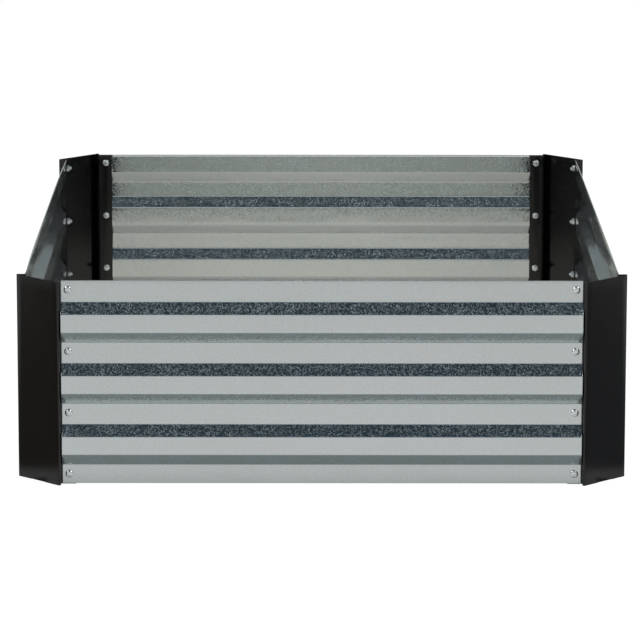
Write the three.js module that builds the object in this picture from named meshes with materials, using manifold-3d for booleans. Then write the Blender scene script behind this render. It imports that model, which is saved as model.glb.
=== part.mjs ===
// Raised garden bed: four roll-formed corrugated panels, screwed to four folded corner posts.
//
// Millimetres, +Z up. The origin is on the ground, under the middle of the bed.
// The bed's short sides lie along X (front and back), and its long sides along Y (left and right).
//
// Each panel is one sheet with trapezoid ribs. Its inner flats lie against the posts' flanges, its
// ribs stand outwards, and its top edge is folded inwards as a hem. Each post is one folded strip:
// a flange behind the panel, a return past the panel's end, a sharp fold, the slanted corner face,
// and the same again on the next side. The bed has no floor, and nothing on it moves.

import * as THREE from 'three';
import { mergeVertices } from 'three/addons/utils/BufferGeometryUtils.js';
import Module from 'manifold-3d';

const wasm = await Module();
wasm.setup();

// ---------------------------------------------------------------- driving sizes, in millimetres

// The bed over its corner posts.
const BED_WIDTH = 900;
const BED_LENGTH = 1200;

// Corrugated panel: heights of the flats and ribs in its section, from the bottom edge upwards.
const PANEL_SHEET = 0.6;
const RIB_COUNT = 3;
const RIB_DEPTH = 12;
const RIB_CREST = 26.5;
const RIB_SLOPE_RISE = 17;
const INNER_FLAT = 31;
const BOTTOM_FLAT = 28.5;
const TOP_FLAT = 32;
const PANEL_BEND_RADIUS = 4;
const PANEL_LIFT = 1;
const PANEL_END_GAP = 2;

// Hem along the top edge, folded towards the inside of the bed and notched clear of the flanges.
const HEM_HEIGHT = 5.5;
const HEM_GAP = 0.5;
const HEM_BEND_RADIUS = 0.15;
const HEM_NOTCH_CLEARANCE = 1.5;

// Corner post.
const POST_SHEET = 1;
const POST_BEND_RADIUS = 1.2;
const POST_LEG = 66;
const RETURN_DEPTH = 13;
const FLANGE_WIDTH = 22;

// Screw holes, in the panels and in the flanges behind them.
const HOLE_SETBACK = 12;
const BOTTOM_HOLE_HEIGHT = 15.5;
const TOP_HOLE_DROP = 13.5;
const HOLE_CLEARANCE = 0.3;

// Pan-head machine screw and its hexagon nut.
const SCREW_RADIUS = 3;
const SCREW_LENGTH = 10;
const SCREW_TIP_CHAMFER = 0.7;
const HEAD_RADIUS = 5.7;
const HEAD_RIM = 1.3;
const HEAD_HEIGHT = 4;
const NUT_ACROSS_FLATS = 10;
const NUT_HEIGHT = 5;
const NUT_CHAMFER = 0.6;

// Gap between faces that lie against each other.
const SEAT_GAP = 0.2;

// Faces round the small round shapes.
const HOLE_SIDES = 12;
const SCREW_SIDES = 12;
const HEAD_DOME_STEPS = 3;

// ---------------------------------------------------------------- sizes that follow from them

const RIB_HEIGHT = RIB_CREST + 2 * RIB_SLOPE_RISE;
const PANEL_HEIGHT = BOTTOM_FLAT + TOP_FLAT + RIB_COUNT * RIB_HEIGHT + (RIB_COUNT - 1) * INNER_FLAT;
const POST_HEIGHT = PANEL_LIFT + PANEL_HEIGHT;

// Distances inwards from the bed's outer face to the faces of a panel and a flange on that side.
const FLANGE_OUTER_FACE = RETURN_DEPTH;
const FLANGE_INNER_FACE = FLANGE_OUTER_FACE + POST_SHEET;
const PANEL_INNER_FACE = FLANGE_OUTER_FACE - SEAT_GAP;
const PANEL_OUTER_FACE = PANEL_INNER_FACE - PANEL_SHEET;

// The screw's head stands on the panel, and the nut is run up to the flange.
const HEAD_SEAT = PANEL_OUTER_FACE - SEAT_GAP;
const NUT_SEAT = FLANGE_INNER_FACE + SEAT_GAP;
const GRIP_LENGTH = NUT_SEAT - HEAD_SEAT;

const HOLE_RADIUS = SCREW_RADIUS + HOLE_CLEARANCE;
const HOLE_ROWS = RIB_COUNT + 1;
const HOLE_SPACING = (POST_HEIGHT - TOP_HOLE_DROP - BOTTOM_HOLE_HEIGHT) / (HOLE_ROWS - 1);
const HOLE_HEIGHTS = Array.from({ length: HOLE_ROWS }, (_, row) => BOTTOM_HOLE_HEIGHT + row * HOLE_SPACING);

// ---------------------------------------------------------------- materials

const galvanisedSteel = new THREE.MeshStandardMaterial({ color: 0xaeb2b0, roughness: 0.42, metalness: 0.9 });
const blackPaintedSteel = new THREE.MeshStandardMaterial({ color: 0x191919, roughness: 0.38, metalness: 0.0 });
const zincPlatedSteel = new THREE.MeshStandardMaterial({ color: 0xc4c8ca, roughness: 0.25, metalness: 1.0 });

// ---------------------------------------------------------------- solids

// A closed geometry as a solid that can be joined and cut.
function solidOf(geometry) {
  const bare = geometry.clone();
  bare.deleteAttribute('normal');
  bare.deleteAttribute('uv');
  const merged = mergeVertices(bare, 1e-5);
  return new wasm.Manifold(new wasm.Mesh({
    numProp: 3,
    vertProperties: new Float32Array(merged.attributes.position.array),
    triVerts: new Uint32Array(merged.index.array),
  }));
}

function geometryOf(solid) {
  const mesh = solid.getMesh();
  const geometry = new THREE.BufferGeometry();
  geometry.setAttribute('position', new THREE.BufferAttribute(mesh.vertProperties, 3));
  geometry.setIndex(new THREE.BufferAttribute(mesh.triVerts, 1));
  geometry.computeVertexNormals();
  return geometry;
}

function cutAll(solid, cutters) {
  return cutters.reduce((rest, cutter) => rest.subtract(cutter), solid);
}

// The section of a folded sheet. corners are [x, y, bend] along the middle of the sheet's thickness,
// where bend is the inner bend radius at that corner. Both faces are offset by half the thickness,
// so each bend has one centre, a small arc on its inner face and a larger one on its outer face.
function foldedSection(corners, sheet) {
  const points = corners.map(([x, y]) => new THREE.Vector2(x, y));
  const along = points.slice(1).map((point, i) => point.clone().sub(points[i]).normalize());
  const leftOf = (direction) => new THREE.Vector2(-direction.y, direction.x);
  const bends = along.slice(1).map((after, i) => {
    const before = along[i];
    const turn = Math.atan2(before.cross(after), before.dot(after));
    const side = Math.sign(turn);
    const radius = corners[i + 1][2] + sheet / 2;
    const start = points[i + 1].clone().addScaledVector(before, -radius * Math.tan(Math.abs(turn) / 2));
    const centre = start.clone().addScaledVector(leftOf(before), side * radius);
    const angle = start.clone().sub(centre).angle();
    return { centre, side, radius, angle, turn };
  });

  const section = new THREE.Shape();
  const faceEnd = (point, direction, face) => point.clone().addScaledVector(leftOf(direction), face * sheet / 2);
  const arc = ({ centre, side, radius, angle, turn }, face) => {
    const from = face > 0 ? angle + turn : angle;
    const to = face > 0 ? angle : angle + turn;
    section.absarc(centre.x, centre.y, radius - face * side * sheet / 2, from, to, to < from);
  };
  const first = faceEnd(points[0], along[0], -1);
  const last = faceEnd(points.at(-1), along.at(-1), -1);
  const lastBack = faceEnd(points.at(-1), along.at(-1), 1);
  const firstBack = faceEnd(points[0], along[0], 1);
  section.moveTo(first.x, first.y);
  bends.forEach((bend) => arc(bend, -1));
  section.lineTo(last.x, last.y);
  section.lineTo(lastBack.x, lastBack.y);
  bends.slice().reverse().forEach((bend) => arc(bend, 1));
  section.lineTo(firstBack.x, firstBack.y);
  section.closePath();
  return section;
}

// A round cutter along Y, long enough to pass through a sheet that stands across Y.
function holeCutter(x, y, z) {
  const length = 4 * (PANEL_SHEET + POST_SHEET);
  const cylinder = new THREE.CylinderGeometry(HOLE_RADIUS, HOLE_RADIUS, length, HOLE_SIDES);
  cylinder.translate(x, y, z);
  return solidOf(cylinder);
}

// ---------------------------------------------------------------- corrugated panel

// The panel's section: x is outwards from the middle of the inner flats, y is up from the panel's
// bottom edge.
function panelSection() {
  const corners = [[0, 0, 0]];
  let height = BOTTOM_FLAT;
  for (let rib = 0; rib < RIB_COUNT; rib += 1) {
    corners.push([0, height, PANEL_BEND_RADIUS]);
    corners.push([RIB_DEPTH, height + RIB_SLOPE_RISE, PANEL_BEND_RADIUS]);
    corners.push([RIB_DEPTH, height + RIB_SLOPE_RISE + RIB_CREST, PANEL_BEND_RADIUS]);
    corners.push([0, height + RIB_HEIGHT, PANEL_BEND_RADIUS]);
    height += RIB_HEIGHT + INNER_FLAT;
  }
  const hemTop = PANEL_HEIGHT - PANEL_SHEET / 2;
  const hemMiddle = -(HEM_GAP + PANEL_SHEET);
  corners.push([0, hemTop, HEM_BEND_RADIUS]);
  corners.push([hemMiddle, hemTop, HEM_BEND_RADIUS]);
  corners.push([hemMiddle, PANEL_HEIGHT - HEM_HEIGHT, 0]);
  return foldedSection(corners, PANEL_SHEET);
}

// A panel that lies along X and faces -Y. Its y is 0 at the middle of the inner flats' thickness,
// its x is 0 at its middle, and its z is 0 on the ground.
function panelGeometry(bedSide) {
  const length = bedSide - 2 * (POST_LEG + PANEL_END_GAP);
  const sheet = new THREE.ExtrudeGeometry(panelSection(), { depth: length, bevelEnabled: false, curveSegments: 1 });
  sheet.translate(0, PANEL_LIFT, -length / 2);
  const outwards = new THREE.Vector3(0, -1, 0);
  const up = new THREE.Vector3(0, 0, 1);
  const lengthwise = new THREE.Vector3(-1, 0, 0);
  sheet.applyMatrix4(new THREE.Matrix4().makeBasis(outwards, up, lengthwise));

  // The hem stops short of the flange that covers each end of the panel.
  const notchLength = FLANGE_WIDTH + HEM_NOTCH_CLEARANCE - PANEL_END_GAP;
  const notchDepth = 2 * (HEM_GAP + PANEL_SHEET);
  const notchHeight = 2 * HEM_HEIGHT;
  const cutters = [];
  for (const end of [-1, 1]) {
    const notch = new THREE.BoxGeometry(2 * notchLength, notchDepth, notchHeight);
    notch.translate(end * length / 2, (PANEL_SHEET + notchDepth) / 2, POST_HEIGHT);
    cutters.push(solidOf(notch));
    for (const height of HOLE_HEIGHTS) {
      cutters.push(holeCutter(end * (bedSide / 2 - POST_LEG - HOLE_SETBACK), 0, height));
    }
  }
  return geometryOf(cutAll(solidOf(sheet), cutters));
}

// ---------------------------------------------------------------- corner post

// The post's plan for the front left corner: x and y run inwards from the bed's outer faces.
// The sharp folds' outer arcs just touch those faces, and the slanted face is tangent to both.
function postSection() {
  const middleRadius = POST_BEND_RADIUS + POST_SHEET / 2;
  const flangeMiddle = FLANGE_OUTER_FACE + POST_SHEET / 2;
  const returnMiddle = POST_LEG - POST_SHEET / 2;
  const sharpCorner = POST_SHEET / 2 - Math.SQRT2 * middleRadius;
  const flangeEnd = POST_LEG + FLANGE_WIDTH;
  return foldedSection([
    [flangeEnd, flangeMiddle, 0],
    [returnMiddle, flangeMiddle, POST_BEND_RADIUS],
    [returnMiddle, sharpCorner, POST_BEND_RADIUS],
    [sharpCorner, returnMiddle, POST_BEND_RADIUS],
    [flangeMiddle, returnMiddle, POST_BEND_RADIUS],
    [flangeMiddle, flangeEnd, 0],
  ], POST_SHEET);
}

function postGeometry() {
  const strip = new THREE.ExtrudeGeometry(postSection(), { depth: POST_HEIGHT, bevelEnabled: false, curveSegments: 2 });
  const flangeMiddle = FLANGE_OUTER_FACE + POST_SHEET / 2;
  const cutters = [];
  for (const height of HOLE_HEIGHTS) {
    cutters.push(holeCutter(POST_LEG + HOLE_SETBACK, flangeMiddle, height));
    cutters.push(holeCutter(-(POST_LEG + HOLE_SETBACK), flangeMiddle, height).rotate([0, 0, -90]));
  }
  return geometryOf(cutAll(solidOf(strip), cutters));
}

// ---------------------------------------------------------------- screw with its nut

// The screw stands along Z with its head up. z is 0 at the underside of its head. The nut is run
// up its thread, so the two are one solid. The head's dome is a quarter of an ellipse.
function screwGeometry() {
  const profile = [
    [0, -SCREW_LENGTH],
    [SCREW_RADIUS - SCREW_TIP_CHAMFER, -SCREW_LENGTH],
    [SCREW_RADIUS, SCREW_TIP_CHAMFER - SCREW_LENGTH],
    [SCREW_RADIUS, 0],
    [HEAD_RADIUS, 0],
  ];
  for (let step = 0; step <= HEAD_DOME_STEPS; step += 1) {
    const angle = (step / HEAD_DOME_STEPS) * Math.PI / 2;
    const radius = step === HEAD_DOME_STEPS ? 0 : HEAD_RADIUS * Math.cos(angle);
    profile.push([radius, HEAD_RIM + (HEAD_HEIGHT - HEAD_RIM) * Math.sin(angle)]);
  }
  const screw = new THREE.LatheGeometry(profile.map(([x, y]) => new THREE.Vector2(x, y)), SCREW_SIDES);
  screw.rotateX(Math.PI / 2);

  const apothem = NUT_ACROSS_FLATS / 2 - NUT_CHAMFER;
  const hexagon = new THREE.Shape();
  for (let corner = 0; corner < 6; corner += 1) {
    const angle = corner * Math.PI / 3;
    const radius = apothem / Math.cos(Math.PI / 6);
    const place = [radius * Math.cos(angle), radius * Math.sin(angle)];
    if (corner === 0) hexagon.moveTo(...place);
    else hexagon.lineTo(...place);
  }
  hexagon.closePath();
  const nut = new THREE.ExtrudeGeometry(hexagon, {
    depth: NUT_HEIGHT - 2 * NUT_CHAMFER,
    bevelSize: NUT_CHAMFER,
    bevelThickness: NUT_CHAMFER,
    bevelSegments: 1,
  });
  nut.translate(0, 0, NUT_CHAMFER - NUT_HEIGHT - GRIP_LENGTH);
  return geometryOf(solidOf(screw).add(solidOf(nut)));
}

// ---------------------------------------------------------------- assembly

// Each side of the bed stands in its own group: turned about Z so that the side's outer face
// is towards the group's -Y, at half the bed's depth from the middle.
const sides = [
  { name: 'front', turn: 0, span: BED_WIDTH, depth: BED_LENGTH, ends: ['left', 'right'] },
  { name: 'right', turn: 1, span: BED_LENGTH, depth: BED_WIDTH, ends: ['front', 'back'] },
  { name: 'back', turn: 2, span: BED_WIDTH, depth: BED_LENGTH, ends: ['right', 'left'] },
  { name: 'left', turn: 3, span: BED_LENGTH, depth: BED_WIDTH, ends: ['back', 'front'] },
];
const postNames = ['post_front_left', 'post_front_right', 'post_back_right', 'post_back_left'];

const post = postGeometry();
const screw = screwGeometry();
const bed = new THREE.Group();

function placedMesh(name, geometry, material, x, y, z) {
  const mesh = new THREE.Mesh(geometry, material);
  mesh.name = name;
  mesh.position.set(x, y, z);
  return mesh;
}

sides.forEach(({ name, turn, span, depth, ends }, index) => {
  const side = new THREE.Group();
  side.rotation.z = turn * Math.PI / 2;
  const outerFace = -depth / 2;

  const panelMiddle = outerFace + PANEL_OUTER_FACE + PANEL_SHEET / 2;
  side.add(placedMesh(`panel_${name}`, panelGeometry(span), galvanisedSteel, 0, panelMiddle, 0));
  side.add(placedMesh(postNames[index], post, blackPaintedSteel, -span / 2, outerFace, 0));

  ends.forEach((end, endIndex) => {
    const alongSide = (endIndex === 0 ? -1 : 1) * (span / 2 - POST_LEG - HOLE_SETBACK);
    HOLE_HEIGHTS.forEach((height, row) => {
      const fastener = placedMesh(
        `screw_${name}_${end}_${row + 1}`, screw, zincPlatedSteel, alongSide, outerFace + HEAD_SEAT, height,
      );
      fastener.rotation.x = Math.PI / 2;
      side.add(fastener);
    });
  });
  bed.add(side);
});

export default bed;
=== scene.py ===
"""Raised garden bed: its fine surfaces, its finishes and a plain studio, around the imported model.

Four corrugated galvanised panels are screwed to four folded black corner posts. Everything is in
metres, with +Z up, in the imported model's own frame. Each side of the bed is worked out as if it were
the front one, which faces -Y, and is then turned about Z by quarter turns.
"""

import math

import bpy
import numpy as np
from mathutils import Matrix, Vector


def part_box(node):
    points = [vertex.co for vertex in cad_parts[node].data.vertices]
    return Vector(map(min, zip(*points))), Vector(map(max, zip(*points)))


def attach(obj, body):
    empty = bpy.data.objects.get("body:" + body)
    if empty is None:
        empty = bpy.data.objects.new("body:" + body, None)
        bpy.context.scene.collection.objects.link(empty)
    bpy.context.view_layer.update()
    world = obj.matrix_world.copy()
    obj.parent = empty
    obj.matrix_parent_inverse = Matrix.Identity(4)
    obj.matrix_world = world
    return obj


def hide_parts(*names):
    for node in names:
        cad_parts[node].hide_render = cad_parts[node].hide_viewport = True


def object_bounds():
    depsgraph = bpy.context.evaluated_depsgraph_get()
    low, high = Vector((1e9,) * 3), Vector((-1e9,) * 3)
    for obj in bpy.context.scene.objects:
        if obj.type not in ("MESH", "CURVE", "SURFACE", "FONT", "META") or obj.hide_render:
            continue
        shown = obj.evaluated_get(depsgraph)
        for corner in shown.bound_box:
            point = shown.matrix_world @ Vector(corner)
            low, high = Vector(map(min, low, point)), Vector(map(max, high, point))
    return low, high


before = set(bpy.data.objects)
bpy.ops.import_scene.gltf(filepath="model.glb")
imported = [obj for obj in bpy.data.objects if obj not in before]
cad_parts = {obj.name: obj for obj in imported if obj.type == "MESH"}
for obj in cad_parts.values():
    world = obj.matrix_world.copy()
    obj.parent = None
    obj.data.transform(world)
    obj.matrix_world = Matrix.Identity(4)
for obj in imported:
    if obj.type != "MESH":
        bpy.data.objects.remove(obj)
cad_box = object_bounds()

# ---------------------------------------------------------------- driving sizes, in metres

# Corrugated panel: its section, from the bottom edge upwards.
PANEL_SHEET = 0.0006
RIB_COUNT = 3
RIB_DEPTH = 0.012
RIB_CREST = 0.0265
RIB_SLOPE_RISE = 0.017
INNER_FLAT = 0.031
BOTTOM_FLAT = 0.0285
PANEL_BEND_RADIUS = 0.004

# Hem along the panel's top edge, cut away where the posts' flanges cover the panel's ends.
HEM_HEIGHT = 0.0055
HEM_GAP = 0.0005
HEM_BEND_RADIUS = 0.00015
HEM_SPLAY = 0.0006
HEM_NOTCH_LENGTH = 0.0215

# How far each panel bulges outwards between its posts' flanges.
PANEL_BULGE = {"front": 0.0, "right": 0.0007, "back": 0.002, "left": 0.0022}

# Oil canning: how far the flats bow out of plane, in waves this long. They fade out near each end.
BOW_HEIGHT = 0.00012
BOW_WAVE_LENGTHS = (0.11, 0.19, 0.37)
BOW_FADE = 0.06
BOW_SEED = 11

# Corner post.
POST_SHEET = 0.001
POST_BEND_RADIUS = 0.0012
POST_LEG = 0.066
RETURN_DEPTH = 0.013
FLANGE_WIDTH = 0.022

# Screws, nuts and their holes. The ease, the tapers and the fullness are shares, and the turn is an
# angle.
SCREW_RADIUS = 0.003
SCREW_LENGTH = 0.010
HOLE_CLEARANCE = 0.0003
HEAD_RADIUS = 0.0057
HEAD_RIM = 0.0013
HEAD_HEIGHT = 0.004
HEAD_EDGE = 0.0005
HEAD_EDGE_EASE = 0.3
RECESS_REACH = 0.0033
RECESS_WIDTH = 0.0014
RECESS_DEPTH = 0.0026
RECESS_REACH_TAPER = 0.55
RECESS_WIDTH_TAPER = 0.25
RECESS_TURN = math.pi / 8
CUTTER_RISE = 0.0003
THREAD_PITCH = 0.001
THREAD_DEPTH = 0.0005
THREAD_FULLNESS = 1.25
TIP_CHAMFER = 0.0007
NUT_ACROSS_FLATS = 0.010
NUT_HEIGHT = 0.005
NUT_FACE_RADIUS = 0.0046
NUT_CHAMFER_SLOPE = math.tan(math.radians(30))
NUT_EDGE = 0.00012
NUT_MOUTH = 0.0004
NUT_BORE_CLEARANCE = 0.00003
SEAT_GAP = 0.00002
CAD_SEAT_GAP = 0.0002
FASTENER_SEED = 5

# Fineness of the meshes.
BEND_STEPS = 7
FLAT_STEP = 0.0055
STATION_STEP = 0.010
RIM_STEPS = 4
ROUND_SIDES = 48
THREAD_SIDES = 32
THREAD_ROWS = 6
DOME_STEPS = 13
RECESS_SIDES = 32
RECESS_STEPS = 4
NUT_SIDES = 72
PLACE_DECIMALS = 8
NEARLY_ZERO = 1e-9
SMOOTH_ANGLE = math.radians(32)

# The bed's sides and posts, each a quarter turn about Z from the one before.
SIDES = ("front", "right", "back", "left")
SIDE_ENDS = {"front": ("left", "right"), "right": ("front", "back"),
             "back": ("right", "left"), "left": ("back", "front")}
POSTS = ("post_front_left", "post_front_right", "post_back_right", "post_back_left")
SCREW_ROWS = (1, 2, 3, 4)


# ---------------------------------------------------------------- meshes

def turned(points, quarter_turns):
    """Points turned about Z: each quarter turn takes (x, y) to (-y, x)."""
    points = np.array(points, float)
    for _ in range(quarter_turns % 4):
        points = np.stack([-points[..., 1], points[..., 0], points[..., 2]], axis=-1)
    return points


def box_as_front(node, quarter_turns):
    """A CAD node's lowest and highest corners, once its side is turned back to the front."""
    corners = turned(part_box(node), -quarter_turns)
    return corners.min(axis=0), corners.max(axis=0)


def new_object(name, points, faces):
    """A mesh object at the origin, smooth except where two faces meet at a sharp angle."""
    mesh = bpy.data.meshes.new(name)
    mesh.from_pydata(np.reshape(points, (-1, 3)).tolist(), [], faces)
    mesh.validate()
    piece = bpy.data.objects.new(name, mesh)
    bpy.context.scene.collection.objects.link(piece)
    smooth_flats(mesh)
    return piece


def smooth_flats(mesh):
    """Shades a mesh smooth, with its edges kept where two faces meet at a sharp angle."""
    mesh.polygons.foreach_set("use_smooth", np.ones(len(mesh.polygons), bool))
    mesh.set_sharp_from_angle(angle=SMOOTH_ANGLE)
    mesh.update()


def grid_quads(index):
    """Four-sided faces between neighbours of a grid of vertex numbers."""
    corners = [index[:-1, :-1], index[:-1, 1:], index[1:, 1:], index[1:, :-1]]
    return np.stack(corners, axis=-1).reshape(-1, 4)


def cut(piece, cutter):
    """Cuts one closed mesh out of another and leaves the result in the first."""
    boolean = piece.modifiers.new("cut", "BOOLEAN")
    boolean.operation = "DIFFERENCE"
    boolean.solver = "EXACT"
    boolean.object = cutter
    shapes = bpy.context.evaluated_depsgraph_get()
    cut_mesh = bpy.data.meshes.new_from_object(piece.evaluated_get(shapes), depsgraph=shapes)
    piece.modifiers.clear()
    whole = piece.data
    piece.data = cut_mesh
    cut_mesh.name = piece.name
    bpy.data.meshes.remove(whole)
    bpy.data.objects.remove(cutter)
    smooth_flats(cut_mesh)


def dress(piece, nodes, finish):
    """Gives a finished piece its material and its place in the frame."""
    piece.data.materials.clear()
    piece.data.materials.append(finish)
    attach(piece, "root")
    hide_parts(*nodes)


# ---------------------------------------------------------------- folded sheet

class FoldedLine:
    """The middle line of a folded sheet's section.

    Straight runs join the corners, and at each corner an arc is tangent to both runs. corners are
    [x, y, middle radius of the bend]. Every point has its distance along the line, its unit normal
    to the right of the line, and its share of a bend: 1 on the arcs, 0 on the runs.
    """

    def __init__(self, corners, run_step):
        corner = np.array(corners, float)
        along = np.diff(corner[:, :2], axis=0)
        along /= np.linalg.norm(along, axis=1)[:, None]
        turn = np.arctan2(
            along[:-1, 0] * along[1:, 1] - along[:-1, 1] * along[1:, 0],
            (along[:-1] * along[1:]).sum(axis=1),
        )
        tangent = np.concatenate([[0], corner[1:-1, 2] * np.tan(np.abs(turn) / 2), [0]])
        points = []
        normals = []
        bends = []
        for i, direction in enumerate(along):
            right = np.array([direction[1], -direction[0]])
            start = corner[i, :2] + direction * tangent[i]
            end = corner[i + 1, :2] - direction * tangent[i + 1]
            count = max(1, round(np.linalg.norm(end - start) / run_step))
            share = np.linspace(0, 1, count + 1)[:, None]
            points.append(start + (end - start) * share)
            normals.append(np.tile(right, (count + 1, 1)))
            bends.append(np.zeros(count + 1))
            if i == len(along) - 1:
                break
            side = math.copysign(1, turn[i])
            radius = corner[i + 1, 2]
            centre = end - right * side * radius
            angle = np.linspace(0, turn[i], BEND_STEPS + 1)[1:-1]
            swing = np.stack([
                right[0] * np.cos(angle) - right[1] * np.sin(angle),
                right[0] * np.sin(angle) + right[1] * np.cos(angle),
            ], axis=-1)
            points.append(centre + swing * side * radius)
            normals.append(swing)
            bends.append(np.ones(len(angle)))
        self.points = np.concatenate(points)
        self.normals = np.concatenate(normals)
        self.bends = np.concatenate(bends)
        steps = np.linalg.norm(np.diff(self.points, axis=0), axis=1)
        self.places = np.concatenate([[0], np.cumsum(steps)])
        self.length = self.places[-1]

    def at(self, places):
        """Points, normals and bend shares at these distances along the line."""
        points = np.stack([np.interp(places, self.places, part) for part in self.points.T], axis=-1)
        normals = np.stack([np.interp(places, self.places, part) for part in self.normals.T], axis=-1)
        normals /= np.linalg.norm(normals, axis=1)[:, None]
        return points, normals, np.interp(places, self.places, self.bends)


def rim_places(length, half_sheet):
    """Distances near both edges of a sheet, where its rounded rim needs points."""
    step = half_sheet * (1 - np.cos(np.linspace(0, math.pi / 2, RIM_STEPS + 1)))
    return np.concatenate([step, length - step])


def rim_share(places, length, half_sheet):
    """The share of the full thickness near a sheet's edges.

    It follows a quarter circle, from 0 at either edge to 1 at half a thickness in.
    """
    inwards = np.clip(np.minimum(places, length - places) / half_sheet, 0, 1)
    return np.sqrt(1 - (1 - inwards) ** 2)


def folded_sheet(name, line, length, station_step, sheet, place, bow=None):
    """A sheet as thick as it really is, folded along a section and carried along a straight length.

    Its middle surface is the section's line, moved along its normals by bow. Each face lies half the
    thickness from it along the normal. The thickness falls to nothing along a quarter circle at all
    four rims, where both faces share their points, so the sheet is closed and its rims are round.
    place(section points, stations) gives the points in the frame.
    """
    half = sheet / 2
    places = np.concatenate([line.places, rim_places(line.length, half)])
    places = np.unique(np.round(places, PLACE_DECIMALS))
    count = max(2, round(length / station_step))
    stations = np.concatenate([np.linspace(0, length, count + 1), rim_places(length, half)])
    stations = np.unique(np.round(stations, PLACE_DECIMALS))
    points, normals, bends = line.at(places)
    if bow is not None:
        middle = points[:, None] + normals[:, None] * bow(places, stations)[..., None]
    else:
        middle = np.repeat(points[:, None], len(stations), axis=1)
    share = rim_share(places, places[-1], half)[:, None] * rim_share(stations, stations[-1], half)
    offset = normals[:, None] * (half * share)[..., None]
    outer = place(middle + offset, stations)
    inner = place(middle - offset, stations)

    rows, columns = share.shape
    outer_index = np.arange(rows * columns).reshape(rows, columns)
    inner_index = outer_index.copy()
    inside = np.arange((rows - 2) * (columns - 2)).reshape(rows - 2, columns - 2)
    inner_index[1:-1, 1:-1] = rows * columns + inside
    vertices = np.concatenate([outer.reshape(-1, 3), inner[1:-1, 1:-1].reshape(-1, 3)])
    outer_quads = grid_quads(outer_index)
    inner_quads = grid_quads(inner_index)[:, ::-1]
    row = rows // 2
    column = columns // 2
    corner = outer[row, column]
    face_normal = np.cross(outer[row, column + 1] - corner, outer[row + 1, column] - corner)
    if np.dot(face_normal, corner - inner[row, column]) < 0:
        outer_quads = outer_quads[:, ::-1]
        inner_quads = inner_quads[:, ::-1]
    piece = new_object(name, vertices, np.concatenate([outer_quads, inner_quads]).tolist())
    spread = np.repeat(bends[:, None], columns, axis=1)
    spread = np.concatenate([spread.ravel(), spread[1:-1, 1:-1].ravel()]).astype(np.float32)
    piece.data.attributes.new("bend", "FLOAT", "POINT").data.foreach_set("value", spread)
    return piece


def cut_prisms(piece, outlines, low, high, quarter_turns):
    """Cuts closed prisms out of a piece. Each outline is a loop of (x, z) points.

    A prism runs along Y from low to high, drawn as if the piece's side were the front one.
    """
    vertices = []
    faces = []
    for outline in outlines:
        count = len(outline)
        first = sum(len(v) for v in vertices)
        ends = [np.column_stack([outline[:, 0], np.full(count, y), outline[:, 1]]) for y in (low, high)]
        vertices.append(np.concatenate(ends))
        around = np.arange(count)
        after = (around + 1) % count
        sides = np.stack([around, around + count, after + count, after], axis=-1) + first
        faces.extend(sides.tolist())
        faces.append((around + first).tolist())
        faces.append((around[::-1] + count + first).tolist())
    cut(piece, new_object("cutter", turned(np.concatenate(vertices), quarter_turns), faces))


def box_outline(left, right, bottom, top):
    """The outline of an upright rectangle."""
    return np.array([[right, bottom], [right, top], [left, top], [left, bottom]], float)


def screw_holes(side, end, quarter_turns):
    """The round outlines of the holes at one end of a panel, each about its screw's middle."""
    angle = np.linspace(0, 2 * math.pi, ROUND_SIDES, endpoint=False)
    radius = SCREW_RADIUS + HOLE_CLEARANCE
    outlines = []
    for row in SCREW_ROWS:
        low, high = box_as_front(f"screw_{side}_{end}_{row}", quarter_turns)
        x, _, z = (low + high) / 2
        outlines.append(np.column_stack([x + radius * np.cos(angle), z + radius * np.sin(angle)]))
    return outlines


# ---------------------------------------------------------------- panels

def panel_corners(panel_height):
    """The panel's section, from the bottom edge up to the hem's free edge.

    x is outwards from the middle surface of the inner flats, and y is up from the bottom edge.
    """
    bend = PANEL_BEND_RADIUS + PANEL_SHEET / 2
    hem_bend = HEM_BEND_RADIUS + PANEL_SHEET / 2
    corners = [[0, 0, 0]]
    height = BOTTOM_FLAT
    for _ in range(RIB_COUNT):
        crest = height + RIB_SLOPE_RISE
        corners.append([0, height, bend])
        corners.append([RIB_DEPTH, crest, bend])
        corners.append([RIB_DEPTH, crest + RIB_CREST, bend])
        height = crest + RIB_CREST + RIB_SLOPE_RISE
        corners.append([0, height, bend])
        height += INNER_FLAT
    hem_top = panel_height - PANEL_SHEET / 2
    hem_middle = -(HEM_GAP + PANEL_SHEET)
    corners.append([0, hem_top, hem_bend])
    corners.append([hem_middle, hem_top, hem_bend])
    corners.append([hem_middle - HEM_SPLAY, panel_height - HEM_HEIGHT, 0])
    return corners


def bow_of(line, seed):
    """Oil canning of a panel's flats and slopes.

    On each run between two bends the bow is a sine squared across the run, times a slow wave along
    the panel: three sines of random phase. It fades out towards the panel's ends.
    """
    is_bend = line.bends > 0
    edges = np.flatnonzero(np.diff(is_bend.astype(int)))
    borders = np.concatenate([[0], line.places[edges + 1], [line.length]])
    runs = [(a, b) for a, b in zip(borders[:-1], borders[1:]) if b - a > 2 * FLAT_STEP]

    def bow(places, stations):
        """How far the middle surface moves, at each place on the section and each station."""
        random = np.random.default_rng(seed)
        ends = np.minimum(stations, stations[-1] - stations)
        window = np.clip((ends - BOW_FADE / 2) / BOW_FADE, 0, 1) ** 2
        total = np.zeros((len(places), len(stations)))
        for start, end in runs:
            across = np.sin(math.pi * np.clip((places - start) / (end - start), 0, 1)) ** 2
            phases = random.uniform(0, 2 * math.pi, len(BOW_WAVE_LENGTHS))
            waves = zip(BOW_WAVE_LENGTHS, phases)
            wave = sum(np.sin(2 * math.pi * stations / length + phase) for length, phase in waves)
            total += across[:, None] * (wave * window)
        return total * BOW_HEIGHT / len(BOW_WAVE_LENGTHS)

    return bow


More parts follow.
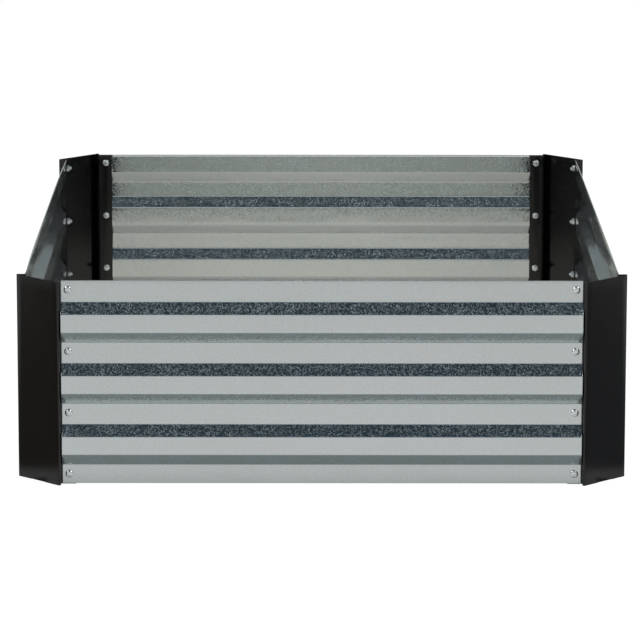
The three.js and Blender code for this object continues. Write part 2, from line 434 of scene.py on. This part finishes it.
def make_panel(side, quarter_turns, finish):
    """One panel: its folded sheet, its screw holes, and its hem cut away at both ends."""
    low, high = box_as_front(f"panel_{side}", quarter_turns)
    line = FoldedLine(panel_corners(high[2] - low[2]), FLAT_STEP)
    middle_plane = low[1] + PANEL_SHEET / 2 + RIB_DEPTH
    bulge = PANEL_BULGE[side]
    free_share = 1 - 2 * HEM_NOTCH_LENGTH / (high[0] - low[0])

    def place(section, stations):
        """The bulge is 1 minus the fourth power of the share of the way from the middle to a flange."""
        along = np.broadcast_to(low[0] + stations, section.shape[:-1])
        share = np.clip(np.abs(2 * stations / stations[-1] - 1) / free_share, 0, 1)
        outwards = section[..., 0] + bulge * (1 - share ** 4)
        front = np.stack([along, middle_plane - outwards, low[2] + section[..., 1]], axis=-1)
        return turned(front, quarter_turns)

    bow = bow_of(line, BOW_SEED + quarter_turns)
    name = f"corrugated_panel_{side}"
    panel = folded_sheet(name, line, high[0] - low[0], STATION_STEP, PANEL_SHEET, place, bow)

    holes = [hole for end in SIDE_ENDS[side] for hole in screw_holes(side, end, quarter_turns)]
    cut_prisms(panel, holes, middle_plane - RIB_DEPTH / 2, middle_plane + RIB_DEPTH / 2, quarter_turns)
    bottom = high[2] - HEM_HEIGHT - PANEL_SHEET
    top = high[2] + RIB_DEPTH
    notches = [
        box_outline(low[0] - RIB_DEPTH, low[0] + HEM_NOTCH_LENGTH, bottom, top),
        box_outline(high[0] - HEM_NOTCH_LENGTH, high[0] + RIB_DEPTH, bottom, top),
    ]
    inner_face = middle_plane + PANEL_SHEET / 2
    reach = 2 * (HEM_GAP + PANEL_SHEET + HEM_SPLAY)
    cut_prisms(panel, notches, inner_face, inner_face + reach, quarter_turns)
    dress(panel, [f"panel_{side}"], finish)


# ---------------------------------------------------------------- posts

def post_corners():
    """The post's plan for the front left corner: x and y run inwards from the bed's outer faces.

    The sharp folds' outer arcs just touch those faces, and the slanted face is tangent to both.
    """
    bend = POST_BEND_RADIUS + POST_SHEET / 2
    flange = RETURN_DEPTH + POST_SHEET / 2
    back = POST_LEG - POST_SHEET / 2
    sharp = POST_SHEET / 2 - math.sqrt(2) * bend
    end = POST_LEG + FLANGE_WIDTH
    return [
        [flange, end, 0],
        [flange, back, bend],
        [sharp, back, bend],
        [back, sharp, bend],
        [back, flange, bend],
        [end, flange, 0],
    ]


def make_post(name, quarter_turns, finish):
    """One post: its folded strip, stood upright, with holes in both flanges."""
    low, high = box_as_front(name, quarter_turns)
    line = FoldedLine(post_corners(), STATION_STEP)

    def place(section, stations):
        """The section's x and y go inwards from the bed's outer faces, and the stations go up."""
        up = np.broadcast_to(low[2] + stations, section.shape[:-1])
        front = np.stack([low[0] + section[..., 0], low[1] + section[..., 1], up], axis=-1)
        return turned(front, quarter_turns)

    height = high[2] - low[2]
    post = folded_sheet(f"corner_{name}", line, height, 2 * STATION_STEP, POST_SHEET, place)
    for turns, end in ((quarter_turns, 0), ((quarter_turns + 3) % 4, 1)):
        side = SIDES[turns]
        flange = box_as_front(name, turns)[0][1] + RETURN_DEPTH + POST_SHEET / 2
        holes = screw_holes(side, SIDE_ENDS[side][end], turns)
        cut_prisms(post, holes, flange - 2 * POST_SHEET, flange + 2 * POST_SHEET, turns)
    dress(post, [name], finish)


# ---------------------------------------------------------------- screws and nuts

def around_axis(radii, heights):
    """A grid's points about Z, and the grid of their numbers with its first column repeated last.

    Columns go around the axis. A point is at its radius and its height, at the angle of its column.
    """
    rows, columns = radii.shape
    angle = np.linspace(0, 2 * math.pi, columns, endpoint=False)
    points = np.stack([radii * np.cos(angle), radii * np.sin(angle), heights], axis=-1)
    index = np.arange(rows * columns).reshape(rows, columns)
    return points.reshape(-1, 3), np.concatenate([index, index[:, :1]], axis=1)


def revolved(name, radii, heights):
    """A closed body about Z. Rows of the grid go along the profile and columns around it.

    One point on the axis closes each end, at the height of the nearest row.
    """
    points, ring = around_axis(radii, heights)
    columns = radii.shape[1]
    poles = [[0, 0, heights[0].mean()], [0, 0, heights[-1].mean()]]
    first = np.stack([ring[0, 1:], ring[0, :-1], np.full(columns, radii.size)], axis=-1)
    last = np.stack([ring[-1, :-1], ring[-1, 1:], np.full(columns, radii.size + 1)], axis=-1)
    faces = grid_quads(ring).tolist() + first.tolist() + last.tolist()
    return new_object(name, np.concatenate([points, poles]), faces)


def mesh_arrays(piece):
    """A template's points and faces, and the template is removed."""
    mesh = piece.data
    points = np.empty(len(mesh.vertices) * 3)
    mesh.vertices.foreach_get("co", points)
    faces = [list(polygon.vertices) for polygon in mesh.polygons]
    bpy.data.objects.remove(piece)
    bpy.data.meshes.remove(mesh)
    return points.reshape(-1, 3), faces


def screw_template():
    """Pan-head screw along Z, head up, with z 0 at the underside of its head.

    Along the shank the radius is the thread's: it rises and falls by the thread's depth once a pitch,
    and the phase moves on by one turn around the screw, which makes the ridge a helix. The head is a
    short rim under a quarter of an ellipse, and the cross recess is cut out of it.
    """
    angle = np.linspace(0, 2 * math.pi, THREAD_SIDES, endpoint=False)
    rows = round(SCREW_LENGTH / THREAD_PITCH * THREAD_ROWS)
    z = np.linspace(-SCREW_LENGTH, -THREAD_PITCH / THREAD_ROWS, rows)[:, None]
    phase = (z / THREAD_PITCH - angle / (2 * math.pi)) % 1
    ridge = np.clip(THREAD_FULLNESS - 4 * np.abs(phase - 0.5), 0, 1)
    shank = SCREW_RADIUS - THREAD_DEPTH * (1 - ridge)
    tip = SCREW_RADIUS - TIP_CHAMFER + (z + SCREW_LENGTH)
    shank = np.minimum(shank, tip)

    dome = np.linspace(0, math.pi / 2, DOME_STEPS + 1)[:-1]
    dome_heights = HEAD_RIM + (HEAD_HEIGHT - HEAD_RIM) * np.sin(dome)
    ease = HEAD_EDGE_EASE * HEAD_EDGE
    head = np.concatenate([
        [[SCREW_RADIUS, 0], [HEAD_RADIUS - HEAD_EDGE, 0]],
        [[HEAD_RADIUS - ease, ease], [HEAD_RADIUS, HEAD_EDGE]],
        np.column_stack([HEAD_RADIUS * np.cos(dome), dome_heights]),
    ])
    radii = np.concatenate([shank, np.tile(head[:, :1], (1, THREAD_SIDES))])
    heights = np.concatenate([
        np.broadcast_to(z, shank.shape),
        np.tile(head[:, 1:], (1, THREAD_SIDES)),
    ])
    screw = revolved("screw_template", radii, heights)
    cut(screw, cross_cutter())
    return mesh_arrays(screw)


def cross_cutter():
    """The body of a screw's cross recess: two crossed bars, shorter and narrower towards the bottom.

    At each angle a bar reaches as far as its side or its end allows, and the farther bar counts.
    """
    angle = np.linspace(0, 2 * math.pi, RECESS_SIDES, endpoint=False) + RECESS_TURN
    depth = np.linspace(0, 1, RECESS_STEPS + 1)[:, None]
    reach = RECESS_REACH * (1 - RECESS_REACH_TAPER * depth)
    width = RECESS_WIDTH / 2 * (1 - RECESS_WIDTH_TAPER * depth)
    bars = []
    for axis in (0, math.pi / 2):
        across = np.abs(np.sin(angle - axis)) + NEARLY_ZERO
        ahead = np.abs(np.cos(angle - axis)) + NEARLY_ZERO
        bars.append(np.minimum(width / across, reach / ahead))
    radii = np.maximum(*bars)[::-1]
    heights = HEAD_HEIGHT + CUTTER_RISE - (RECESS_DEPTH + CUTTER_RISE) * depth[::-1]
    return revolved("recess_cutter", radii, heights + np.zeros(RECESS_SIDES))


def nut_template():
    """Hexagon nut along Z, from z 0 at its seat down to minus its height.

    The outer radius follows the hexagon: half the width across flats, divided by the cosine of the
    angle to the nearest flat's middle. A cone cuts the corners: past the face's radius the faces
    fall away at a constant slope. The bore closes the ring.
    """
    angle = np.linspace(0, 2 * math.pi, NUT_SIDES, endpoint=False)
    from_flat = (angle + math.pi / 6) % (math.pi / 3) - math.pi / 6
    hexagon = NUT_ACROSS_FLATS / 2 / np.cos(from_flat)
    fall = (hexagon - NUT_FACE_RADIUS) * NUT_CHAMFER_SLOPE
    bore = SCREW_RADIUS + NUT_BORE_CLEARANCE
    mouth = bore + NUT_MOUTH
    profile = [
        (mouth, -NUT_HEIGHT),
        (NUT_FACE_RADIUS, -NUT_HEIGHT),
        (hexagon - NUT_EDGE, fall - NUT_HEIGHT - NUT_EDGE / 2),
        (hexagon, fall - NUT_HEIGHT + NUT_EDGE),
        (hexagon, -fall - NUT_EDGE),
        (hexagon - NUT_EDGE, -fall + NUT_EDGE / 2),
        (NUT_FACE_RADIUS, 0),
        (mouth, 0),
        (bore, -NUT_MOUTH),
        (bore, NUT_MOUTH - NUT_HEIGHT),
    ]
    radii = np.stack([radius + np.zeros(NUT_SIDES) for radius, _ in profile])
    heights = np.stack([height + np.zeros(NUT_SIDES) for _, height in profile])
    points, ring = around_axis(radii, heights)
    return points, grid_quads(np.concatenate([ring, ring[:1]])).tolist()


def make_fasteners(finish):
    """A screw and a nut for each CAD fastener, each turned about its axis by its own random angle."""
    random = np.random.default_rng(FASTENER_SEED)
    screw_points, screw_faces = screw_template()
    nut_points, nut_faces = nut_template()
    for quarter_turns, side in enumerate(SIDES):
        for end in SIDE_ENDS[side]:
            for row in SCREW_ROWS:
                node = f"screw_{side}_{end}_{row}"
                low, high = box_as_front(node, quarter_turns)
                seat = low[1] + HEAD_HEIGHT + CAD_SEAT_GAP - SEAT_GAP
                grip = PANEL_SHEET + CAD_SEAT_GAP + POST_SHEET + 2 * SEAT_GAP
                centre = np.array([(low[0] + high[0]) / 2, seat, (low[2] + high[2]) / 2])
                for kind, points, faces, drop in (
                    ("pan_head_screw", screw_points, screw_faces, 0),
                    ("hex_nut", nut_points, nut_faces, grip),
                ):
                    spin = random.uniform(0, 2 * math.pi)
                    x = points[:, 0] * math.cos(spin) - points[:, 1] * math.sin(spin)
                    z = points[:, 0] * math.sin(spin) + points[:, 1] * math.cos(spin)
                    placed = np.stack([x, drop - points[:, 2], z], axis=-1) + centre
                    name = f"{kind}_{side}_{end}_{row}"
                    piece = new_object(name, turned(placed, quarter_turns), faces)
                    dress(piece, [node], finish)


# ---------------------------------------------------------------- finishes

class Wire:
    """An output socket. Arithmetic on it adds Math nodes to its finish."""

    def __init__(self, finish, socket):
        self.finish = finish
        self.socket = socket

    def __add__(self, other):
        return self.finish.math("ADD", self, other)

    def __sub__(self, other):
        return self.finish.math("SUBTRACT", self, other)

    def __rsub__(self, other):
        return self.finish.math("SUBTRACT", other, self)

    def __mul__(self, other):
        return self.finish.math("MULTIPLY", self, other)

    __radd__ = __add__
    __rmul__ = __mul__


class Finish:
    """A node tree under construction, of a material or of the world."""

    def __init__(self, owner):
        owner.use_nodes = True
        self.owner = owner
        self.tree = owner.node_tree
        self.tree.nodes.clear()

    def node(self, kind, settings=None, inputs=None, output=0):
        """Adds a node, sets it up, then sets or links its sockets. Gives one of its outputs."""
        node = self.tree.nodes.new(kind)
        for key, value in (settings or {}).items():
            if key == "stops":
                set_stops(node.color_ramp, value)
            else:
                setattr(node, key, value)
        for key, value in (inputs or {}).items():
            if isinstance(value, Wire):
                self.tree.links.new(value.socket, node.inputs[key])
            else:
                node.inputs[key].default_value = value
        return Wire(self, node.outputs[output])

    def math(self, operation, *values):
        """A Math node on these values."""
        return self.node("ShaderNodeMath", {"operation": operation}, dict(enumerate(values)))

    def vector(self, operation, *values):
        """A Vector Math node on these values."""
        return self.node("ShaderNodeVectorMath", {"operation": operation}, dict(enumerate(values)))

    def scaled(self, vector, factor):
        """A vector or a colour times a number."""
        return self.node("ShaderNodeVectorMath", {"operation": "SCALE"}, {0: vector, "Scale": factor})

    def blend(self, factor, first, second):
        """A colour between two, by a Mix node."""
        inputs = {0: factor, 6: first, 7: second}
        return self.node("ShaderNodeMix", {"data_type": "RGBA"}, inputs, output=2)

    def smooth(self, value, low, high):
        """0 below low and 1 above high, with a smooth step between."""
        settings = {"interpolation_type": "SMOOTHSTEP"}
        return self.node("ShaderNodeMapRange", settings, {0: value, 1: low, 2: high, 3: 0, 4: 1})

    def coordinates(self):
        """The place on the piece, in metres."""
        return self.node("ShaderNodeTexCoord", output="Object")

    def noise(self, place, scale, detail, output="Fac"):
        """A Noise texture at this place."""
        inputs = {"Vector": place, "Scale": scale, "Detail": detail}
        return self.node("ShaderNodeTexNoise", {}, inputs, output)

    def part(self, vector, name):
        """The X, Y or Z of a vector."""
        return self.node("ShaderNodeSeparateXYZ", {}, {0: vector}, output=name)

    def ray(self, kind):
        """1 for rays of this kind and 0 for all others."""
        return self.node("ShaderNodeLightPath", output=f"Is {kind} Ray")

    def surface(self, shader):
        """Ends the tree in this shader."""
        is_world = isinstance(self.owner, bpy.types.World)
        kind = "ShaderNodeOutputWorld" if is_world else "ShaderNodeOutputMaterial"
        end = self.tree.nodes.new(kind)
        self.tree.links.new(shader.socket, end.inputs["Surface"])
        return self.owner


def set_stops(ramp, stops):
    """Gives a colour ramp its stops: pairs of a position and a colour."""
    while len(ramp.elements) > 1:
        ramp.elements.remove(ramp.elements[-1])
    for i, (position, colour) in enumerate(stops):
        element = ramp.elements[0] if i == 0 else ramp.elements.new(position)
        element.position = position
        element.color = (*colour, 1)


# Galvanised sheet. A scale is how many cells of its texture fill a metre. A pair gives the values of
# a texture, or of a crystal's random number, between which its effect grows from none to full. The
# dull crystals and the patches add their roughness to the zinc's own.
CRYSTAL_SCALE = 600
CRYSTAL_WOBBLE_SCALE = 900
CRYSTAL_WOBBLE = 0.0016
CRYSTAL_TILT = 0.015
DULL_CRYSTALS = (0.35, 1.0)
DULLNESS_EVERYWHERE = 0.4
DULLNESS_IN_PATCHES = 1.2
PATCH_SCALE = 45
CLOUD_SCALE = 5
CLOUD_EDGES = (0.35, 0.65)
ZINC_DARKER = (0.636, 0.662, 0.638, 1)
ZINC_PALER = (0.660, 0.678, 0.666, 1)
ZINC_PAINTED_BEND_HIGHLIGHT = (0.74, 0.80, 0.80, 1)
ZINC_DULL = (0.645, 0.722, 0.760, 1)
BEND_HIGHLIGHT_SHARE = 0.25
ZINC_ROUGHNESS = 0.05
DULL_ROUGHNESS = 0.18
PATCH_ROUGHNESS = 0.02
DULL_METAL_LOSS = 0.17

# Powder coat.
PEEL_SCALE = 750
PEEL_DEPTH = 0.00015
PEEL_STRENGTH = 0.25
COAT_CLOUD_SCALE = 18
COAT_DARKER = (0.0010, 0.0010, 0.0009, 1)
COAT_PALER = (0.0014, 0.0014, 0.0014, 1)
COAT_ROUGHNESS = 0.13
COAT_CLOUD_ROUGHNESS = 0.05

# Zinc plate.
PLATE_CLOUD_SCALE = 900
PLATE_DARKER = (0.82, 0.84, 0.85, 1)
PLATE_PALER = (0.93, 0.95, 0.96, 1)
PLATE_ROUGHNESS = 0.16
PLATE_CLOUD_ROUGHNESS = 0.14


def galvanised_steel():
    """Hot-dipped zinc: smooth and bright, with a fine spangle of crystals that scatter some light.

    Each crystal has its own small tilt, and some are dull. The dull ones show more in some patches.
    Wide clouds shade the zinc a little, and it is paler along the bends, a painted highlight.
    """
    finish = Finish(bpy.data.materials.new("galvanised_steel"))
    place = finish.coordinates()
    middle = (0.5, 0.5, 0.5)
    wobble = finish.noise(place, CRYSTAL_WOBBLE_SCALE, 2, "Color")
    wobble = finish.scaled(finish.vector("SUBTRACT", wobble, middle), CRYSTAL_WOBBLE)
    crystals = {"Vector": finish.vector("ADD", place, wobble), "Scale": CRYSTAL_SCALE}
    shade = finish.node("ShaderNodeTexVoronoi", {}, crystals, output="Color")
    green = finish.node("ShaderNodeSeparateColor", {}, {0: shade}, output="Green")
    patches = finish.noise(place, PATCH_SCALE, 3)
    clouds = finish.noise(place, CLOUD_SCALE, 3)

    strength = DULLNESS_EVERYWHERE + DULLNESS_IN_PATCHES * patches
    dull = finish.math("MINIMUM", finish.smooth(green, *DULL_CRYSTALS) * strength, 1.0)
    tilt = finish.scaled(finish.vector("SUBTRACT", shade, middle), CRYSTAL_TILT)
    upright = finish.node("ShaderNodeNewGeometry", output="Normal")
    normal = finish.vector("NORMALIZE", finish.vector("ADD", upright, tilt))

    bend = finish.node("ShaderNodeAttribute", {"attribute_name": "bend"}, output="Fac")
    colour = finish.blend(finish.smooth(clouds, *CLOUD_EDGES), ZINC_DARKER, ZINC_PALER)
    # Painted highlight: the zinc is paler along the bends.
    colour = finish.blend(bend * BEND_HIGHLIGHT_SHARE, colour, ZINC_PAINTED_BEND_HIGHLIGHT)
    colour = finish.blend(dull, colour, ZINC_DULL)
    shader = finish.node("ShaderNodeBsdfPrincipled", {}, {
        "Base Color": colour,
        "Metallic": 1 - DULL_METAL_LOSS * dull,
        "Roughness": ZINC_ROUGHNESS + DULL_ROUGHNESS * dull + PATCH_ROUGHNESS * patches,
        "Normal": normal,
    })
    return finish.surface(shader)


def black_powder_coat():
    """Semi-gloss black powder coat, with a fine orange peel."""
    finish = Finish(bpy.data.materials.new("black_powder_coat"))
    place = finish.coordinates()
    peel = finish.noise(place, PEEL_SCALE, 2)
    clouds = finish.noise(place, COAT_CLOUD_SCALE, 3)
    bump = {"Height": peel, "Strength": PEEL_STRENGTH, "Distance": PEEL_DEPTH}
    shader = finish.node("ShaderNodeBsdfPrincipled", {}, {
        "Base Color": finish.blend(clouds, COAT_DARKER, COAT_PALER),
        "Roughness": COAT_ROUGHNESS + COAT_CLOUD_ROUGHNESS * clouds,
        "Normal": finish.node("ShaderNodeBump", {}, bump),
    })
    return finish.surface(shader)


def bright_zinc_plate():
    """Bright zinc plating on the screws and nuts."""
    finish = Finish(bpy.data.materials.new("bright_zinc_plate"))
    clouds = finish.noise(finish.coordinates(), PLATE_CLOUD_SCALE, 2)
    shader = finish.node("ShaderNodeBsdfPrincipled", {}, {
        "Base Color": finish.blend(clouds, PLATE_DARKER, PLATE_PALER),
        "Metallic": 1.0,
        "Roughness": PLATE_ROUGHNESS + PLATE_CLOUD_ROUGHNESS * clouds,
    })
    return finish.surface(shader)


# ---------------------------------------------------------------- studio

WHITE = (1, 1, 1, 1)
BLACK = (0, 0, 0, 1)

# What the camera sees of the floor: light of its own, and a little that is open to the shadow.
WHITE_GLOW = 0.93
WHITE_OPEN = (0.12, 0.12, 0.12, 1)

# The floor's plain colour lights the bed, and the others are its painted sheen, a glow that is partly
# its own and that only the bed's reflections see, looked at steeply or flatly. Its foot is the strip
# around the bed, where the sheen is darkened as painted shade, and its left and right dimmings of the
# sheen lie beside the bed's front corners. Pairs are where an effect starts and where it is full: in
# metres, or as a share from steep (0) to grazing (1).
FLOOR_REACH = 14.0
FLOOR_COLOUR = (0.30, 0.30, 0.30, 1)
FLOOR_STEEP = (0.232, 0.262, 0.264, 1)
FLOOR_GRAZING = (0.605, 0.605, 0.605, 1)
FLOOR_FLATNESS = (0.05, 0.5)
FLOOR_OWN_LIGHT = 0.75
FLOOR_FOOT_PAINTED_SHADE = 0.95
FOOT_SHADE_EDGES = (-0.02, 0.10)
FLOOR_LEFT_SHEEN_DIMMING = (0.23, 0.21, 0.18, 1)
FLOOR_RIGHT_SHEEN_DIMMING = (0.27, 0.28, 0.30, 1)
CORNER_SIDE_EDGES = (0.44, 0.54)
CORNER_FRONT_EDGES = (-1.05, -0.85)
CORNER_BACK_EDGES = (-0.32, -0.44)

# The grey sheet inside the bed: painted shade there, with a painted sheen.
SHEET_PAINTED_SHADE = (0.340, 0.332, 0.310, 1)
SHEET_SHEEN = (0.085, 0.092, 0.072, 1)
SHEET_FLATNESS = (0.3, 0.8)
SHEET_WALL_SHADE = 0.5
SHEET_WALL_SHADE_EDGES = (0.0, 0.5)
SHEET_MARGIN = 0.02
SHEET_HEIGHT = 0.0005

# The studio around it: in front by the angle up from the horizon (0) to straight above (1), and
# behind.
# Pairs are the parts of a direction, from -1 to 1, between which an effect grows to full.
STUDIO_AHEAD = [
    (0.00, (0.80, 0.80, 0.79)),
    (0.11, (0.54, 0.55, 0.55)),
    (0.22, (0.38, 0.40, 0.41)),
    (0.33, (0.19, 0.225, 0.250)),
    (0.44, (0.065, 0.102, 0.135)),
    (0.56, (0.028, 0.047, 0.062)),
    (0.655, (0.026, 0.042, 0.055)),
    (0.69, (0.060, 0.074, 0.078)),
    (0.80, (0.30, 0.34, 0.37)),
    (1.00, (0.50, 0.53, 0.55)),
]
STUDIO_BEHIND = (0.435, 0.455, 0.405, 1)
BEHIND_EDGES = (-0.05, 0.25)
STUDIO_LIGHT = (0.45, 0.45, 0.45, 1)
SIDEWAYS_DIMMING = 0.6
SIDEWAYS_EDGES = (0.45, 0.80)

# The lamps are soft boxes, with their width in metres and their power in watts.
LAMP_AIM = (0, 0, 0.15)
OVERHEAD_PLACE = (0, 0.2, 3.6)
OVERHEAD_SIZE = 2.0
OVERHEAD_POWER = 120
SIDE_PLACE = (2.6, -2.2, 2.9)
SIDE_SIZE = 1.6
SIDE_POWER = 40


def seen_by_camera(finish):
    """1 for rays that the camera sends out, straight or through glass."""
    return finish.math("MAXIMUM", finish.ray("Camera"), finish.ray("Transmission"))


def white_to_camera(finish, shader):
    """Ends a stage surface: white to the camera, under a faint shadow, and this shader to all else."""
    faint = finish.node("ShaderNodeBsdfDiffuse", {}, {"Color": WHITE_OPEN})
    glow = finish.node("ShaderNodeEmission", {}, {"Color": WHITE, "Strength": WHITE_GLOW})
    white = finish.node("ShaderNodeAddShader", {}, {0: faint, 1: glow})
    shaders = {0: seen_by_camera(finish), 1: shader, 2: white}
    return finish.surface(finish.node("ShaderNodeMixShader", {}, shaders))


def flatness(finish, edges):
    """0 where a ray meets the surface steeply and 1 where it only grazes it."""
    facing = finish.node("ShaderNodeLayerWeight", {}, {"Blend": 0.5}, output="Facing")
    return finish.smooth(facing, *edges)


def painted_sheen_floor():
    """Pale floor, white to the camera, with a painted sheen.

    In reflections it glows whiter the flatter it is looked at. It darkens towards the bed's foot, a
    painted shade, and beside the bed's front corners, painted as if nothing white stood there. Part of
    its light is its own, and the rest is open to the shadow.
    """
    finish = Finish(bpy.data.materials.new("painted_sheen_floor"))
    matt = finish.node("ShaderNodeBsdfDiffuse", {}, {"Color": FLOOR_COLOUR})
    # Painted sheen: for reflections the floor glows, whiter where it is looked at flatly.
    sheen = finish.blend(flatness(finish, FLOOR_FLATNESS), FLOOR_STEEP, FLOOR_GRAZING)
    place = finish.coordinates()
    across = finish.part(place, "X")
    along = finish.part(place, "Y")
    # Painted shade: the sheen darkens towards the bed's foot.
    beside = finish.math("ABSOLUTE", across) - cad_box[1][0]
    ahead = finish.math("ABSOLUTE", along) - cad_box[1][1]
    away = finish.smooth(finish.math("MAXIMUM", beside, ahead), *FOOT_SHADE_EDGES)
    sheen = finish.scaled(sheen, FLOOR_FOOT_PAINTED_SHADE + (1 - FLOOR_FOOT_PAINTED_SHADE) * away)
    # Painted shade: the sheen dims beside the bed's front corners.
    from_front = finish.smooth(along, *CORNER_FRONT_EDGES)
    corners = from_front * finish.smooth(along, *CORNER_BACK_EDGES)
    for side, sheen_dimming in ((-1, FLOOR_LEFT_SHEEN_DIMMING), (1, FLOOR_RIGHT_SHEEN_DIMMING)):
        near, far = CORNER_SIDE_EDGES
        share = finish.smooth(across, side * near, side * far) * corners
        sheen = finish.vector("MULTIPLY", sheen, finish.blend(share, WHITE, sheen_dimming))
    own = finish.node("ShaderNodeEmission", {}, {"Color": sheen, "Strength": FLOOR_OWN_LIGHT})
    open_part = finish.scaled(sheen, 1 - FLOOR_OWN_LIGHT)
    shaded = finish.node("ShaderNodeBsdfDiffuse", {}, {"Color": open_part})
    painted_sheen = finish.node("ShaderNodeAddShader", {}, {0: own, 1: shaded})
    mirrored = {0: finish.ray("Glossy"), 1: matt, 2: painted_sheen}
    return white_to_camera(finish, finish.node("ShaderNodeMixShader", {}, mirrored))


def painted_shade_sheet():
    """Grey sheet of painted shade on the floor inside the bed, with a faint painted sheen, white to
    the camera like the floor.

    The sheen shows in flat reflections and is weaker, as painted shade, near the front and back panels.
    """
    finish = Finish(bpy.data.materials.new("painted_shade_sheet"))
    # Painted shade: the floor inside the bed is grey to all rays but the camera's.
    matt = finish.node("ShaderNodeBsdfDiffuse", {}, {"Color": SHEET_PAINTED_SHADE})
    along = finish.part(finish.coordinates(), "Y")
    inwards = cad_box[1][1] - finish.math("ABSOLUTE", along)
    # Painted shade: the sheen is weaker near the front and back panels.
    beyond_wall_shade = SHEET_WALL_SHADE + (1 - SHEET_WALL_SHADE) * finish.smooth(inwards, *SHEET_WALL_SHADE_EDGES)
    share = flatness(finish, SHEET_FLATNESS) * finish.ray("Glossy") * beyond_wall_shade
    # Painted sheen: a glow that only flat reflections see.
    sheen = finish.blend(share, BLACK, SHEET_SHEEN)
    shine = finish.node("ShaderNodeEmission", {}, {"Color": sheen, "Strength": 1.0})
    return white_to_camera(finish, finish.node("ShaderNodeAddShader", {}, {0: matt, 1: shine}))


def flat_stage(name, half_width, half_length, height, finish):
    """A level rectangle about the middle of the bed. It is part of the stage only."""
    corners = [
        [-half_width, -half_length, height],
        [half_width, -half_length, height],
        [half_width, half_length, height],
        [-half_width, half_length, height],
    ]
    ground = new_object(name, corners, [[0, 1, 2, 3]])
    ground.data.materials.append(finish)


def make_floor():
    """The studio's floor, and the grey sheet of painted shade inside the bed."""
    flat_stage("studio_floor", FLOOR_REACH, FLOOR_REACH, 0, painted_sheen_floor())
    inside = cad_box[1] - Vector((SHEET_MARGIN, SHEET_MARGIN, 0))
    # Painted shade: a grey sheet over the floor inside the bed.
    flat_stage("sheet_in_bed", inside.x, inside.y, SHEET_HEIGHT, painted_shade_sheet())


def make_world():
    """White to the camera. In reflections the studio is pale near the floor and darkens upwards.

    Its front half turns to a dim blue ceiling, pale again straight above the bed. Its back half stays
    pale, and both sides are dimmer.
    """
    world = bpy.data.worlds.new("studio")
    bpy.context.scene.world = world
    finish = Finish(world)
    direction = finish.node("ShaderNodeTexCoord", output="Generated")
    elevation = finish.math("ARCSINE", finish.part(direction, "Z")) * (1 / math.radians(90))
    ahead = finish.node("ShaderNodeValToRGB", {"stops": STUDIO_AHEAD}, {0: elevation})
    behind = finish.smooth(finish.part(direction, "Y"), *BEHIND_EDGES)
    reflected = finish.blend(behind, ahead, STUDIO_BEHIND)
    across = finish.math("ABSOLUTE", finish.part(direction, "X"))
    sideways = finish.smooth(across, *SIDEWAYS_EDGES)
    reflected = finish.scaled(reflected, 1 - SIDEWAYS_DIMMING * sideways)
    colour = finish.blend(finish.ray("Glossy"), STUDIO_LIGHT, reflected)
    colour = finish.blend(seen_by_camera(finish), colour, WHITE)
    finish.surface(finish.node("ShaderNodeBackground", {}, {"Color": colour, "Strength": 1.0}))


def make_lamp(name, place, size, power, glossy):
    """A square soft box at place, turned to face the middle of the bed."""
    lamp = bpy.data.lights.new(name, "AREA")
    lamp.shape = "SQUARE"
    lamp.size = size
    lamp.energy = power
    box = bpy.data.objects.new(name, lamp)
    bpy.context.scene.collection.objects.link(box)
    box.location = place
    ahead = Vector(LAMP_AIM) - Vector(place)
    box.rotation_euler = ahead.to_track_quat("-Z", "Y").to_euler()
    box.visible_glossy = glossy
    box.visible_camera = False


def make_lamps():
    """One soft box overhead, which no surface mirrors, and one on either side in front."""
    make_lamp("overhead_softbox", OVERHEAD_PLACE, OVERHEAD_SIZE, OVERHEAD_POWER, glossy=False)
    for side in (-1, 1):
        place = (side * SIDE_PLACE[0], *SIDE_PLACE[1:])
        make_lamp(f"side_softbox_{side + 2}", place, SIDE_SIZE, SIDE_POWER, glossy=True)


# ---------------------------------------------------------------- camera

# The camera, fitted to the posts' corners: angles in radians, lens and sensor in millimetres.
CAMERA_PLACE = (-0.01087, -6.7536, 1.4675)
CAMERA_YAW = 0.0013
CAMERA_PITCH = 0.1955
CAMERA_ROLL = 0.0011
CAMERA_LENS = 241.55
SENSOR_WIDTH = 36
CAMERA_SIGHT = 100


def make_camera():
    """A long lens in front of the bed, which looks down on it by about eleven degrees."""
    forward = Vector((
        math.sin(CAMERA_YAW) * math.cos(CAMERA_PITCH),
        math.cos(CAMERA_YAW) * math.cos(CAMERA_PITCH),
        -math.sin(CAMERA_PITCH),
    ))
    level = Vector((math.cos(CAMERA_YAW), -math.sin(CAMERA_YAW), 0))
    upright = level.cross(forward)
    right = level * math.cos(CAMERA_ROLL) + upright * math.sin(CAMERA_ROLL)
    up = upright * math.cos(CAMERA_ROLL) - level * math.sin(CAMERA_ROLL)
    lens = bpy.data.cameras.new("camera")
    lens.lens = CAMERA_LENS
    lens.sensor_width = SENSOR_WIDTH
    lens.clip_end = CAMERA_SIGHT
    camera = bpy.data.objects.new("camera", lens)
    bpy.context.scene.collection.objects.link(camera)
    turn = Matrix((right, up, -forward)).transposed().to_4x4()
    camera.matrix_world = Matrix.Translation(CAMERA_PLACE) @ turn
    bpy.context.scene.camera = camera


# ---------------------------------------------------------------- the whole scene

galvanised = galvanised_steel()
powder_coat = black_powder_coat()
zinc_plate = bright_zinc_plate()

for turns, side_name in enumerate(SIDES):
    make_panel(side_name, turns, galvanised)
    make_post(POSTS[turns], turns, powder_coat)
make_fasteners(zinc_plate)

make_floor()
make_world()
make_lamps()
make_camera()
bpy.context.scene.view_settings.view_transform = "Standard"
